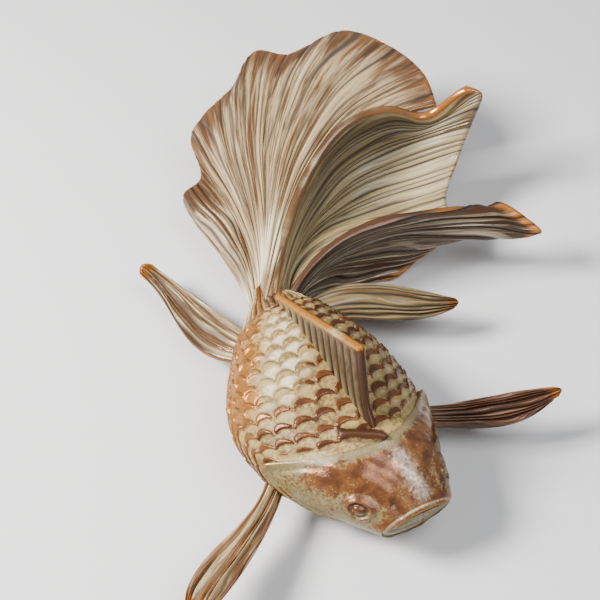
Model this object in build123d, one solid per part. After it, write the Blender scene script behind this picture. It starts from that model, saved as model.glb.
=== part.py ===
from build123d import *
import math
import os

# Fantail goldfish ornament in cast bronze: ten castings let into each other and brazed.
# Millimetres. The nose points along -Y, the tail along +Y, +Z is up and the table is at zero.
# The fish's own left side is +X. A value ending in share or shares has no unit.

# Driving sizes of the body
body_length = 62.3
snout_reach = 31.3
body_half_width = 18.1
axis_height = 11.0
back_height = 10.8
belly_depth = 11.3

# Joints between castings
braze_gap = 0.08
let_in_depth = 2.6
cut_overrun = 30.0

# Head casting
collar_step = 0.5
nape_setback_share = 0.207
gill_setback_share = 0.379
throat_setback_share = 0.128
throat_height = 3.6
gill_height = 12.4
gill_round = 3.0
spigot_radius = 5.2
spigot_length = 8.0
eye_setback_share = 0.119
eye_height = 14.6
eye_ring_radius = 2.4
eye_ring_rise = 0.4
eye_root_depth = 2.0
eye_hollow_radius = 1.7
eye_hollow_depth = 0.6
eye_forward_share = 0.57
pupil_radius = 1.2
pupil_rise = 0.5
mouth_half_width = 4.9
mouth_half_height = 0.8
mouth_depth = 1.6

# Blades: thickness on a ray and on the web between two rays
ray_thickness = 2.3
web_thickness = 1.2
edge_thickness = 0.9
rim_thickness = 2.4
dorsal_ray_thickness = 1.5
dorsal_web_thickness = 1.0
dorsal_rim_thickness = 1.9

# Dorsal fin
dorsal_front_setback_share = 0.273
dorsal_rear_setback_share = 0.828
dorsal_sideways = -0.5
dorsal_front_height = 39.0
dorsal_rear_height = 20.6
dorsal_front_rake = 4.2
dorsal_rear_rake = 1.2
dorsal_ray_count = 11

# Pectoral fins: root, then bearing in degrees from +Y towards +X, size, early and late bends
pectoral_root_height = 7.8
pectoral_ray_count = 5
right_pectoral_setback_share = 0.348
right_pectoral_bearing = 233.4
right_pectoral_length = 31.2
right_pectoral_half_width = 4.3
right_pectoral_width_shares = [0.50, 0.15, 1.50, 0.60]
right_pectoral_tip_height = 11.2
right_pectoral_roll = 12.0
right_pectoral_bows = [-3.7, 2.1]
right_pectoral_lifts = [-1.4, -1.8]
left_pectoral_setback_share = 0.340
left_pectoral_bearing = 112.4
left_pectoral_length = 28.1
left_pectoral_half_width = 3.9
left_pectoral_width_shares = [0.62, 0.37, 1.45, 0.20]
left_pectoral_tip_height = 12.6
left_pectoral_roll = 20.0
left_pectoral_bows = [0.6, 3.3]
left_pectoral_lifts = [-1.0, -1.0]

# Pelvic fins
pelvic_root_height = 8.0
pelvic_ray_count = 5
right_pelvic_setback_share = 0.846
right_pelvic_bearing = 344.6
right_pelvic_length = 30.2
right_pelvic_half_width = 4.5
right_pelvic_width_shares = [0.60, 1.75, 0.40, 0.22]
right_pelvic_tip_height = 8.2
right_pelvic_roll = -10.0
right_pelvic_bows = [-3.3, 2.1]
right_pelvic_lifts = [-2.7, -4.0]
left_pelvic_setback_share = 0.833
left_pelvic_bearing = 112.2
left_pelvic_length = 29.9
left_pelvic_half_width = 4.5
left_pelvic_width_shares = [0.90, 0.85, 1.15, 0.20]
left_pelvic_tip_height = 9.6
left_pelvic_roll = 25.0
left_pelvic_bows = [-6.7, 2.2]
left_pelvic_lifts = [1.8, 1.4]
paddle_arch_share = 0.22
paddle_blunt_share = 0.3
bend_pull_share = 2.25

# Tail: three lobes that spread from the end of the trunk
tail_reach = 72.0
tail_crest_height = 30.0
right_root_top_spread = 0.6
right_root_top = 15.2
right_root_floor_spread = 3.0
right_root_floor = 8.6
left_rim_spread = 1.6
left_rim_root = 15.4
left_floor_spread = 3.6
left_floor_root = 12.4
left_crest_spread = 4.0
left_crest_root = 14.2
left_edge_spread = 3.4
left_edge_root = 8.0
right_half_ray_count = 9
left_upper_ray_count = 6
left_lower_ray_count = 6
basin_depth = 5.9
basin_early_share = 0.3
basin_skew_share = 0.6

# Trunk stations, nose to tail: along, sideways, half width, axis, back, belly
body_shares = [
    (0.00, 0.00, 0.34, 1.055, 0.19, 0.30),
    (0.03, 0.00, 0.41, 1.055, 0.33, 0.41),
    (0.11, -0.04, 0.555, 1.055, 0.64, 0.62),
    (0.205, -0.085, 0.74, 1.045, 0.85, 0.78),
    (0.31, -0.135, 0.895, 1.02, 0.90, 0.90),
    (0.42, -0.16, 0.955, 1.00, 0.97, 0.99),
    (0.535, -0.165, 0.955, 1.00, 1.00, 1.00),
    (0.645, -0.135, 0.86, 1.00, 0.955, 0.98),
    (0.76, -0.08, 0.665, 1.03, 0.825, 0.86),
    (0.87, -0.01, 0.455, 1.07, 0.555, 0.64),
    (0.95, 0.04, 0.31, 1.09, 0.37, 0.46),
    (1.00, 0.08, 0.245, 1.11, 0.28, 0.35),
]

# Rays of a lobe: bearing in degrees, then reach, tip height, early and late swing
right_half_shares = [
    (65.0, 0.88, 0.70, -0.047, -0.104),
    (61.5, 0.94, 0.80, -0.055, -0.095),
    (53.0, 0.98, 0.87, -0.040, -0.070),
    (44.0, 1.00, 0.87, -0.020, -0.057),
    (35.0, 0.925, 0.74, 0.010, -0.046),
    (28.0, 0.92, 0.77, 0.030, -0.040),
    (23.5, 0.805, 0.68, 0.040, -0.032),
    (15.0, 0.725, 0.57, 0.054, 0.003),
    (11.5, 0.69, 0.46, 0.057, 0.017),
    (11.0, 0.555, 0.365, 0.035, 0.030),
    (4.0, 0.505, 0.365, 0.040, 0.003),
    (4.0, 0.505, 0.235, 0.022, 0.012),
]
left_upper_shares = [
    (76.0, 0.885, 1.00, -0.114, -0.138),
    (76.7, 0.858, 0.90, -0.094, -0.169),
    (76.6, 0.818, 0.72, -0.078, -0.155),
    (77.4, 0.761, 0.53, -0.085, -0.104),
    (80.3, 0.679, 0.42, -0.090, -0.049),
    (85.4, 0.613, 0.45, -0.090, -0.017),
    (95.5, 0.563, 0.42, -0.067, 0.003),
]
left_lower_shares = [
    (96.3, 0.728, 0.63, -0.043, 0.020),
    (100.7, 0.765, 0.55, -0.061, -0.007),
    (104.7, 0.799, 0.48, -0.076, -0.032),
    (102.5, 0.731, 0.43, -0.078, -0.025),
    (95.9, 0.672, 0.35, -0.072, 0.003),
    (92.6, 0.550, 0.25, -0.064, -0.004),
    (91.6, 0.479, 0.12, -0.051, -0.022),
    (94.8, 0.421, 0.047, -0.049, -0.040),
]

# Early and late lift of the left lower lobe, at its crest and at its lower edge
left_lower_lift_shares = [(0.060, 0.029), (-0.021, -0.035)]


def curve_through(rows, share):
    """Catmull-Rom value at a share of the way through evenly spaced rows."""
    span = min(max(share, 0.0), 1.0) * (len(rows) - 1)
    first = min(int(span), len(rows) - 2)
    t = span - first
    near = [rows[min(max(first + k, 0), len(rows) - 1)] for k in (-1, 0, 1, 2)]

    def mix(a, b, c, d):
        return b + 0.5 * t * (c - a + t * (2 * a - 5 * b + 4 * c - d + t * (3 * (b - c) + d - a)))

    if isinstance(rows[0], tuple):
        return [mix(*column) for column in zip(*near)]
    return mix(*near)


def station(setback_share):
    """Place along Y of a share of the body's length behind the snout."""
    return setback_share * body_length - snout_reach


def body_size(y):
    """Sideways shift, half width, axis height, back and belly of the trunk at a place along Y."""
    along = (y + snout_reach) / body_length
    after = next((k for k, row in enumerate(body_shares) if row[0] > along), len(body_shares) - 1)
    low, high = body_shares[after - 1], body_shares[after]
    t = (along - low[0]) / (high[0] - low[0])
    shift, width, axis, back, belly = [a + t * (b - a) for a, b in zip(low[1:], high[1:])]
    return (shift * body_half_width, width * body_half_width, axis * axis_height,
            back * back_height, belly * belly_depth)


def heading(bearing):
    """Unit vectors along a bearing and to its right, both level."""
    a = math.radians(bearing)
    return Vector(math.sin(a), math.cos(a), 0), Vector(math.cos(a), -math.sin(a), 0)


def quarter_arcs(middle, reaches):
    """Oval drawn as four quarter arcs, each one cubic curve, through the ends of four reaches."""
    pull = 4 / 3 * (math.sqrt(2) - 1)
    arcs = []
    for a, b in zip(reaches, reaches[1:] + reaches[:1]):
        arcs.append(Edge.make_bezier(middle + a, middle + a + b * pull, middle + b + a * pull, middle + b))
    return Wire(arcs)


def fish_form(grow=0.0):
    """Smooth body from snout to tail root, larger all round by grow, flat where it rests."""
    rings = []
    for along, sideways, width, axis, back, belly in body_shares:
        middle = Vector(sideways * body_half_width, along * body_length - snout_reach, axis * axis_height)
        across = Vector(width * body_half_width + grow, 0, 0)
        up = Vector(0, 0, back * back_height + grow)
        down = Vector(0, 0, -belly * belly_depth - grow)
        rings.append(quarter_arcs(middle, [across, up, -across, down]))
    return above_table(Solid.make_loft(rings))


def above_table(form):
    """Flatten what rests on the table."""
    room = Pos(0, 0, cut_overrun) * Box(4 * body_length, 4 * body_length, 2 * cut_overrun)
    return form & room


def head_region(gap=0.0):
    """Everything ahead of the collar, whose side view is a C round each gill cover."""
    nape = station(nape_setback_share) + gap
    gill = station(gill_setback_share) + gap
    throat = station(throat_setback_share) + gap
    side_view = Plane(origin=(-cut_overrun, 0, 0), x_dir=(0, 1, 0), z_dir=(1, 0, 0))
    crown = axis_height + back_height
    collar = FilletPolyline((nape, crown), (gill, gill_height), (throat, throat_height), radius=gill_round)
    front = -body_length
    edge = Polyline((throat, throat_height), (throat - throat_height, -throat_height),
                    (front, -throat_height), (front, 2 * crown), (nape - throat_height, 2 * crown),
                    (nape, crown))
    face = side_view * make_face([collar, edge])
    return extrude(face, amount=2 * cut_overrun, dir=(1, 0, 0))


def spigot(gap=0.0):
    """Round boss on the trunk that enters the head."""
    start = station(gill_setback_share) + spigot_length / 2
    reach = 1.5 * spigot_length + gap
    axis = Plane(origin=(0, start, axis_height), z_dir=(0, -1, 0))
    return extrude(axis * Circle(spigot_radius + gap), amount=reach)


def head_casting():
    """Smooth helmet with its collar step, cast eyes and open lips."""
    helmet = fish_form(collar_step) & head_region()
    for side in (-1, 1):
        eye_y = station(eye_setback_share)
        shift, width, axis, back, belly = body_size(eye_y)
        rise = (eye_height - axis) / back
        across = math.sqrt(1 - rise * rise)
        skin = Vector(shift + side * width * across, eye_y, eye_height)
        out = Vector(side * across / width, -eye_forward_share / width, rise / back).normalized()
        seat = Plane(origin=skin + out * collar_step, z_dir=out)
        root, floor = seat.offset(-eye_root_depth), seat.offset(-eye_hollow_depth)
        helmet = helmet + extrude(root * Circle(eye_ring_radius), amount=eye_root_depth + eye_ring_rise)
        helmet = helmet - extrude(floor * Circle(eye_hollow_radius), amount=2 * eye_root_depth)
        helmet = helmet + extrude(root * Circle(pupil_radius), amount=eye_root_depth + pupil_rise)
    mouth_plane = Plane(origin=(0, -snout_reach, body_shares[0][3] * axis_height),
                        x_dir=(1, 0, 0), z_dir=(0, 1, 0))
    mouth = extrude(mouth_plane * Ellipse(mouth_half_width, mouth_half_height), amount=mouth_depth,
                    both=True)
    helmet = helmet - mouth - spigot(braze_gap)
    return helmet - right_pectoral(braze_gap) - left_pectoral(braze_gap)


def split_quad(a, b, c, d):
    """Two flat triangles between the line from a to b and the line from c to d."""
    return [Face(Wire.make_polygon([a, b, c])), Face(Wire.make_polygon([b, d, c]))]


def blade(rays, half_thickness, grow=0.0):
    """Solid cast blade round a fan of rays, thinned towards its edges.

    Each ray is the four control points of a cubic curve, root first. half_thickness(i, j) is
    half the thickness at point j of ray i. grow makes the blade larger all round, for its slot.
    """
    last, end = len(rays) - 1, len(rays[0]) - 1
    top, low = [], []
    for i, ray in enumerate(rays):
        left, right = rays[max(i - 1, 0)], rays[min(i + 1, last)]
        top.append([])
        low.append([])
        for j, point in enumerate(ray):
            along = (ray[min(j + 1, end)] - ray[max(j - 1, 0)]).normalized()
            across = (right[j] - left[j]).normalized()
            normal = across.cross(along).normalized()
            margin = along * ((j == end) - (j == 0)) + across * ((i == last) - (i == 0))
            offset = normal * (half_thickness(i, j) + grow)
            top[i].append(point + margin * grow + offset)
            low[i].append(point + margin * grow - offset)

    top_lines = [Edge.make_bezier(*line) for line in top]
    low_lines = [Edge.make_bezier(*line) for line in low]
    faces = []
    for i in range(last):
        faces.append(Face.make_surface_from_curves(top_lines[i], top_lines[i + 1]))
        faces.append(Face.make_surface_from_curves(low_lines[i], low_lines[i + 1]))
        faces += split_quad(top[i][end], top[i + 1][end], low[i][end], low[i + 1][end])
        faces += split_quad(top[i][0], top[i + 1][0], low[i][0], low[i + 1][0])
    for i in (0, last):
        faces.append(Face.make_surface_from_curves(top_lines[i], low_lines[i]))
    return Solid(Shell(faces))


def fluted(line_count, ray_size, web_size, edge_size, rim_size=None, tip_size=None):
    """Half thickness for blade(): thick on even lines, which are rays, and thin on the webs.

    The blade is plain at its root, the flutes deepen away from it, and both outer lines are thin
    edges unless the first carries a rolled rim.
    """

    def half(i, j):
        size = ray_size if i % 2 == 0 else web_size
        if i in (0, line_count - 1):
            size = edge_size
        if i == 0 and rim_size:
            size = rim_size
        if j == 0:
            size = (ray_size + web_size) / 2
        if j == 3 and tip_size:
            size = tip_size
        return size / 2

    return half


def lobe_rays(table, ray_count, roots, lifts=None):
    """Fan of rays and webs. Each is a cubic curve from root to tip with an early and a late bend.

    A bend moves the curve by 2.25 times its value at the control point that it belongs to.
    """
    start, finish = roots
    fan = []
    for line in range(2 * ray_count - 1):
        across = line / (2 * ray_count - 2)
        bearing, far, high, early, late = curve_through(table, across)
        ahead, right = heading(bearing)
        root = start + (finish - start) * across
        lift_early, lift_late = lifts(across) if lifts else (0, 0)
        run = ahead * (far * tail_reach) + Vector(0, 0, high * tail_crest_height - root.Z)
        bends = [(0, 0), (early * tail_reach, lift_early), (late * tail_reach, lift_late), (0, 0)]
        fan.append([root + run * (k / 3) + (right * swing + Vector(0, 0, lift)) * bend_pull_share
                    for k, (swing, lift) in enumerate(bends)])
    return fan


def right_tail_half(grow=0.0):
    """Open fan of the fish's right tail half, from the top seam down to its lower lobe."""
    roots = (tail_root(-right_root_top_spread, right_root_top),
             tail_root(-right_root_floor_spread, right_root_floor))
    rays = lobe_rays(right_half_shares, right_half_ray_count, roots)
    return blade(rays, fluted(len(rays), ray_thickness, web_thickness, edge_thickness), grow)


def left_upper_lobe(grow=0.0):
    """Basin of the left tail half, hung from a thick rolled rim."""
    roots = (tail_root(left_rim_spread, left_rim_root), tail_root(left_floor_spread, left_floor_root))

    def basin(across):
        fall = basin_depth * math.sin(math.pi * across ** basin_skew_share)
        return -basin_early_share * fall, -fall

    rays = lobe_rays(left_upper_shares, left_upper_ray_count, roots, basin)
    flutes = fluted(len(rays), ray_thickness, web_thickness, edge_thickness, rim_thickness)
    return blade(rays, flutes, grow)


def left_lower_lobe(grow=0.0):
    """Standing lobe of the left tail half: crest above, wavy lower edge near the table."""
    roots = (tail_root(left_crest_spread, left_crest_root), tail_root(left_edge_spread, left_edge_root))

    def crest(across):
        early, late = [a + (b - a) * across for a, b in zip(*left_lower_lift_shares)]
        return early * tail_reach, late * tail_reach

    rays = lobe_rays(left_lower_shares, left_lower_ray_count, roots, crest)
    return blade(rays, fluted(len(rays), ray_thickness, web_thickness, edge_thickness), grow)


def tail_root(across, height):
    """Root point of a tail ray, let into the end of the trunk."""
    return Vector(across, body_length - snout_reach - let_in_depth, height)


def flank(y, height, side):
    """Point on the trunk's skin at a place along Y and a height."""
    shift, width, axis, back, belly = body_size(y)
    reach = back if height > axis else belly
    return Vector(shift + side * width * math.sqrt(1 - ((height - axis) / reach) ** 2), y, height)


def paddle(side, setback_share, root_height, bearing, size, bends, roll, ray_count, grow=0.0):
    """Paired fin: a leaf of fluted rays on a bowed spine, let into the flank.

    size is length, half width, its shares at the four control points of every line, and tip height.
    bends are the spine's early and late bow to its right, and its early and late lift.
    """
    length, half_width, width_shares, tip_height = size
    (early_bow, late_bow), (early_lift, late_lift) = bends
    ahead, right = heading(bearing)
    up = Vector(0, 0, 1)
    root = flank(station(setback_share), root_height, side) - ahead * let_in_depth
    run = ahead * (length + let_in_depth) + up * (tip_height - root_height)
    bow_steps = (0, early_bow, late_bow, 0)
    lift_steps = (0, early_lift, late_lift, 0)
    rays = []
    for line in range(2 * ray_count - 1):
        v = line / (ray_count - 1) - 1
        ray = []
        for k, width_share in enumerate(width_shares):
            spine = root + run * (k / 3) + right * bow_steps[k] + up * lift_steps[k]
            tilt = math.radians(roll) * min(k, 2) / 2
            across = right * math.cos(tilt) - up * math.sin(tilt)
            width = width_share * half_width
            arch = up * (paddle_arch_share * width * (1 - v * v))
            blunt = ahead * (-paddle_blunt_share * half_width * v * v * (k == 3))
            ray.append(spine + across * (v * width) + arch + blunt)
        rays.append(ray)
    return blade(rays, fluted(len(rays), ray_thickness, web_thickness, edge_thickness), grow)


def right_pectoral(grow=0.0):
    size = (right_pectoral_length, right_pectoral_half_width, right_pectoral_width_shares,
            right_pectoral_tip_height)
    bends = (right_pectoral_bows, right_pectoral_lifts)
    return paddle(-1, right_pectoral_setback_share, pectoral_root_height, right_pectoral_bearing, size,
                  bends, right_pectoral_roll, pectoral_ray_count, grow)


def left_pectoral(grow=0.0):
    size = (left_pectoral_length, left_pectoral_half_width, left_pectoral_width_shares,
            left_pectoral_tip_height)
    bends = (left_pectoral_bows, left_pectoral_lifts)
    return paddle(1, left_pectoral_setback_share, pectoral_root_height, left_pectoral_bearing, size,
                  bends, left_pectoral_roll, pectoral_ray_count, grow)


def right_pelvic(grow=0.0):
    size = (right_pelvic_length, right_pelvic_half_width, right_pelvic_width_shares,
            right_pelvic_tip_height)
    bends = (right_pelvic_bows, right_pelvic_lifts)
    return paddle(-1, right_pelvic_setback_share, pelvic_root_height, right_pelvic_bearing, size,
                  bends, right_pelvic_roll, pelvic_ray_count, grow)


def left_pelvic(grow=0.0):
    size = (left_pelvic_length, left_pelvic_half_width, left_pelvic_width_shares,
            left_pelvic_tip_height)
    bends = (left_pelvic_bows, left_pelvic_lifts)
    return paddle(1, left_pelvic_setback_share, pelvic_root_height, left_pelvic_bearing, size,
                  bends, left_pelvic_roll, pelvic_ray_count, grow)


def dorsal(grow=0.0):
    """Upright sail along the back: near-vertical rays below a rounded rim."""
    front = station(dorsal_front_setback_share)
    rear = station(dorsal_rear_setback_share)
    rays = []
    for line in range(2 * dorsal_ray_count - 1):
        v = line / (2 * dorsal_ray_count - 2)
        y = front + (rear - front) * v
        shift, width, axis, back, belly = body_size(y)
        foot = Vector(dorsal_sideways, y, axis + back - let_in_depth)
        rake = dorsal_front_rake + (dorsal_rear_rake - dorsal_front_rake) * v
        crown = Vector(dorsal_sideways, y + rake,
                       dorsal_front_height + (dorsal_rear_height - dorsal_front_height) * v)
        rays.append([foot + (crown - foot) * (k / 3) for k in range(4)])
    flutes = fluted(len(rays), dorsal_ray_thickness, dorsal_web_thickness, dorsal_web_thickness,
                    tip_size=dorsal_rim_thickness)
    return blade(rays, flutes, grow)


def largest(shape):
    """The casting itself, without the offcut that a trim leaves on its far side."""
    return max(shape.solids(), key=lambda solid: solid.volume)


fins = {
    "dorsal_fin": dorsal,
    "right_pectoral_fin": right_pectoral,
    "left_pectoral_fin": left_pectoral,
    "right_pelvic_fin": right_pelvic,
    "left_pelvic_fin": left_pelvic,
}
castings = {name: make() for name, make in fins.items()}
upper_slot, lower_slot = left_upper_lobe(braze_gap), left_lower_lobe(braze_gap)
castings["tail_right_half"] = largest(right_tail_half() - upper_slot)
castings["tail_left_upper_lobe"] = largest(left_upper_lobe() - lower_slot)
castings["tail_left_lower_lobe"] = above_table(left_lower_lobe())

trunk = fish_form() - head_region(braze_gap)
trunk = trunk + (spigot() & fish_form())
for make in fins.values():
    trunk = trunk - make(braze_gap)
trunk = trunk - right_tail_half(braze_gap) - upper_slot - lower_slot
castings["trunk"] = largest(trunk)
castings["head"] = head_casting()

os.makedirs("parts", exist_ok=True)
for name, casting in castings.items():
    export_step(casting, f"parts/{name}.step")
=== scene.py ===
import math

import bpy
import numpy as np
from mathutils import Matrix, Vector


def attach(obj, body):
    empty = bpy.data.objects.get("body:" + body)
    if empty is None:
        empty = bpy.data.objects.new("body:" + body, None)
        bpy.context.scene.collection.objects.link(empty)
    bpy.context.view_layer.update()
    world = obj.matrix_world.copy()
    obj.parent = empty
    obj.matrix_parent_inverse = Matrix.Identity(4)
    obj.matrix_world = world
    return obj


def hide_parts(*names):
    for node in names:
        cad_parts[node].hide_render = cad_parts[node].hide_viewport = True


# Fantail goldfish ornament: ten bronze castings, let into each other and brazed, then patinated.
# The nose points along -Y, the tail along +Y and +Z is up. Sizes are in millimetres unless they say
# otherwise, and the mesh maker turns them into metres.
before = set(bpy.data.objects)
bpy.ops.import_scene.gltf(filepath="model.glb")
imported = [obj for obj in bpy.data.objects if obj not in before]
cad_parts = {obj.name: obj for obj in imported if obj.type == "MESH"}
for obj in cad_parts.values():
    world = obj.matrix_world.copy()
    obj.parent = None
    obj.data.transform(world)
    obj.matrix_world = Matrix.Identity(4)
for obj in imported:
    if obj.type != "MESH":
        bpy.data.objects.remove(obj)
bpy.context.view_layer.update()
millimetre = 0.001

# Table top and light. The ornament rests on a plain pale table under a large soft lamp, with a
# weaker fill lamp ahead of it, and is seen from above, ahead and to its right.
table_size = 3000.0
table_colour, table_roughness = (0.74, 0.74, 0.75, 1.0), 0.75
sky_colour, sky_strength = (0.66, 0.66, 0.66, 1.0), 0.16
backdrop_colour = (0.80, 0.80, 0.81, 1.0)
camera_azimuth, camera_elevation = -29.0, 50.0
camera_distance, camera_lens = 247.0, 78.0
aim_point = (0.0, 13.0, 27.1)
lamp_aim = (0, 20, 0)
lamps = {
    "window_lamp": {"from": (-290, 130, 310), "side": 140.0, "watts": 6.1, "colour": (1.0, 0.98, 0.94)},
    "fill_lamp": {"from": (60, -180, 420), "side": 260.0, "watts": 1.6, "colour": (0.95, 0.97, 1.0)},
}

edge = table_size / 2 * millimetre
table_corners = [(-edge, -edge, 0), (edge, -edge, 0), (edge, edge, 0), (-edge, edge, 0)]
table = bpy.data.meshes.new("table_top")
table.from_pydata(table_corners, [], [(0, 1, 2, 3)])
table_top = bpy.data.objects.new("table_top", table)
bpy.context.scene.collection.objects.link(table_top)
paint = bpy.data.materials.new("table_paint")
paint.use_nodes = True
paint.node_tree.nodes["Principled BSDF"].inputs["Base Color"].default_value = table_colour
paint.node_tree.nodes["Principled BSDF"].inputs["Roughness"].default_value = table_roughness
table.materials.append(paint)

world = bpy.data.worlds.new("studio")
world.use_nodes = True
bpy.context.scene.world = world
sky = world.node_tree
soft_sky = sky.nodes["Background"]
soft_sky.inputs["Color"].default_value = sky_colour
soft_sky.inputs["Strength"].default_value = sky_strength
backdrop = sky.nodes.new("ShaderNodeBackground")
backdrop.inputs["Color"].default_value = backdrop_colour
path = sky.nodes.new("ShaderNodeLightPath")
seen = path.outputs["Is Camera Ray"]
for kind in ("Is Glossy Ray", "Is Transmission Ray"):
    either = sky.nodes.new("ShaderNodeMath")
    either.operation = "MAXIMUM"
    sky.links.new(seen, either.inputs[0])
    sky.links.new(path.outputs[kind], either.inputs[1])
    seen = either.outputs[0]
choose = sky.nodes.new("ShaderNodeMixShader")
sky.links.new(seen, choose.inputs["Fac"])
sky.links.new(soft_sky.outputs["Background"], choose.inputs[1])
sky.links.new(backdrop.outputs["Background"], choose.inputs[2])
sky.links.new(choose.outputs["Shader"], sky.nodes["World Output"].inputs["Surface"])


def aimed(thing, place, target):
    """Put a lamp or the camera at a place, both in millimetres, with its -Z axis towards the target."""
    thing.location = Vector(place) * millimetre
    towards = (Vector(target) - Vector(place)).normalized()
    thing.rotation_euler = towards.to_track_quat("-Z", "Y").to_euler()


for name, lamp in lamps.items():
    light = bpy.data.lights.new(name, "AREA")
    light.size = lamp["side"] * millimetre
    light.energy = lamp["watts"]
    light.color = lamp["colour"]
    softbox = bpy.data.objects.new(name, light)
    bpy.context.scene.collection.objects.link(softbox)
    aimed(softbox, lamp["from"], lamp_aim)

lens = bpy.data.cameras.new("camera")
lens.lens = camera_lens
camera = bpy.data.objects.new("camera", lens)
bpy.context.scene.collection.objects.link(camera)
turn, rise = math.radians(camera_azimuth), math.radians(camera_elevation)
view_back = Vector((math.sin(turn) * math.cos(rise), -math.cos(turn) * math.cos(rise), math.sin(rise)))
aimed(camera, Vector(aim_point) + view_back * camera_distance, aim_point)
bpy.context.scene.camera = camera

# Trunk. A solid bronze casting, flat where it rests, whose skin carries overlapping round scales
# with raised free edges. Patina fills the flats, the free edges are bare red-brown metal, and a pale
# patch on the back, partly handling wear and partly a painted highlight, and a copper one on the
# flank show where it is handled. Painted shade darkens the seams behind the scales, the underside,
# the stalk's grooves and the nape just ahead of the bar.
body_length = 62.3
snout_reach = 31.3
body_half_width = 18.1
axis_height = 11.0
back_height = 10.8
belly_depth = 11.3
body_stations = [0.0, 0.03, 0.11, 0.205, 0.31, 0.42, 0.535, 0.645, 0.76, 0.87, 0.95, 1.0]
body_shares = [
    (0.00, 0.34, 1.055, 0.19, 0.30),
    (0.00, 0.41, 1.055, 0.33, 0.41),
    (-0.04, 0.555, 1.055, 0.64, 0.62),
    (-0.085, 0.74, 1.045, 0.85, 0.78),
    (-0.135, 0.895, 1.02, 0.90, 0.90),
    (-0.16, 0.955, 1.00, 0.97, 0.99),
    (-0.165, 0.955, 1.00, 1.00, 1.00),
    (-0.135, 0.86, 1.00, 0.955, 0.98),
    (-0.08, 0.665, 1.03, 0.825, 0.86),
    (-0.01, 0.455, 1.07, 0.555, 0.64),
    (0.04, 0.31, 1.09, 0.37, 0.46),
    (0.08, 0.245, 1.11, 0.28, 0.35),
]
nape_place, nape_height = -18.6, 21.8
gill_place, gill_height = -7.4, 13.8
throat_place, throat_height = -24.3, 4.6
gill_roundness = 0.7
under_collar = 1.2
scale_columns = 26
scale_row_pitch, least_row_pitch = 3.7, 1.7
scale_arc_share = 0.66
scale_lift, scale_rim, scale_seam = 0.30, 0.42, 0.14
plug_length, plug_lean = 2.0, 0.10
stalk_length, stalk_full_length = 13.0, 8.0
waist_length, waist_full_length = 14.0, 9.0
stalk_waist, stalk_thinning = 0.5, 1.4
stalk_ribs, stalk_rib_depth = 33, 0.55
wear_and_sheen_angle, wear_and_sheen_twist, wear_and_sheen_place, wear_and_sheen_length = 117, 0.7, 8, 13.0
copper_rib_angle, valley_angle = 122, 88
bar_front, bar_slant = -17.7, 0.656
bar_right_end, bar_left_end = (-7.4, -6.2), (0.2, 1.2)
bar_width, bar_rise = 1.25, 1.1
trunk_cells = (306, 320)


def through(places, rows, at):
    """Values at some places on smooth curves through rows that stand at uneven places.

    Each gap holds one cubic. Its slope at a row is that of the parabola through the row and its two
    neighbours, and at an end row that of the straight line to the next row.
    """
    places, rows, at = np.asarray(places, float), np.asarray(rows, float), np.asarray(at, float)
    slopes = np.gradient(rows, places, axis=0)
    first = np.clip(np.searchsorted(places, at, side="right") - 1, 0, len(places) - 2)
    gap = (places[first + 1] - places[first])[..., None]
    t = np.clip((at - places[first])[..., None] / gap, 0, 1)
    near, far = rows[first], rows[first + 1]
    steered = (1 - t) * slopes[first] - t * slopes[first + 1]
    return near + (far - near) * t * t * (3 - 2 * t) + gap * (t * (1 - t)) * steered


def body_sizes(y):
    """Sideways shift, half width, axis height, back height and belly depth of the body along Y."""
    scale = np.array([body_half_width, body_half_width, axis_height, back_height, belly_depth])
    return np.moveaxis(through(body_stations, body_shares, (y + snout_reach) / body_length) * scale, -1, 0)


def skin(y, around, grow=0.0):
    """Points on the smooth body, larger all round by grow, cut flat at the table.

    Each section is an oval: its half width is the body's, and its half height is that of the back
    above the axis and of the belly below it. around is 0 at the fish's left and 90 degrees on top.
    """
    shift, width, axis, back, belly = body_sizes(y)
    height = np.where(np.sin(around) > 0, back, belly) + grow
    x = shift + (width + grow) * np.cos(around)
    return np.stack([x, y + 0 * x, np.maximum(axis + height * np.sin(around), 0)], -1)


def collar(height):
    """Place along Y of the head's rear edge: two straight runs from a rounded point at the gill."""
    up = (nape_place - gill_place) / (nape_height - gill_height)
    down = (gill_place - throat_place) / (throat_height - gill_height)
    rise = height - gill_height
    rounded = np.sqrt(rise ** 2 + gill_roundness ** 2)
    return gill_place + (up + down) / 2 * rounded + (up - down) / 2 * rise


def collar_at(around, grow=0.0):
    """Place along Y at which the collar crosses each line that runs along the body.

    The collar's height depends on its place, so the place is found by repeated halfway steps.
    """
    y = np.full_like(around, gill_place)
    for _ in range(40):
        y = (y + collar(skin(y, around, grow)[..., 2])) / 2
    return y


def steps(x, low, high):
    """Smooth step from 0 at low to 1 at high."""
    t = np.clip((x - low) / (high - low), 0, 1)
    return t * t * (3 - 2 * t)


def bell(x, width):
    """Rounded bump, 1 at zero and nearly gone at twice the width."""
    return np.exp(-(x / width) ** 2)


def scatter(*numbers):
    """A steady pseudo-random value from 0 to 1 for each set of whole numbers."""
    mixed = sum(n * k for n, k in zip(numbers, (12.9898, 78.233, 37.719)))
    return np.modf(np.abs(np.sin(mixed) * 43758.5453))[0]


def normals(grid):
    """Unit normals of a grid of points, from the cross product of its two directions."""
    along = np.gradient(grid, axis=0)
    across = np.gradient(grid, axis=1)
    face = np.cross(along, across)
    return face / np.maximum(np.linalg.norm(face, axis=-1, keepdims=True), 1e-9)


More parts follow.
